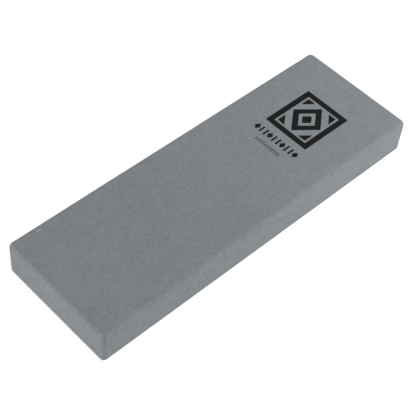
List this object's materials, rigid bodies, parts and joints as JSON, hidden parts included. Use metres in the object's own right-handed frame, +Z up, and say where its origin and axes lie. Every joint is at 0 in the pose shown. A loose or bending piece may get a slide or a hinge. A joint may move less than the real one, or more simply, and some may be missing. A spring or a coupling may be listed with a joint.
{
  "type": "sharpening whetstone",
  "caption": "Flat rectangular bench stone of fine grey bonded abrasive, with small chamfered edges and a plain printed mark near one end of its working face.",
  "frame": {"origin": "centre of the face that the stone rests on", "axes": "+Z up out of the working face, +X along the stone to its printed end, +Y across it to the left of the print"},
  "size_m": [0.21, 0.07, 0.0215],
  "materials": {
    "abrasive": "dry, finely ground, matt grey abrasive with a very fine even grain and pinhole pores",
    "ink": "flat black screen-printing ink soaked into the pores"
  },
  "bodies": {
    "root": {"abrasive_block": "abrasive", "ink_emblem": "ink", "ink_lozenge_row": "ink", "ink_tick_row": "ink"}
  },
  "joints": []
}
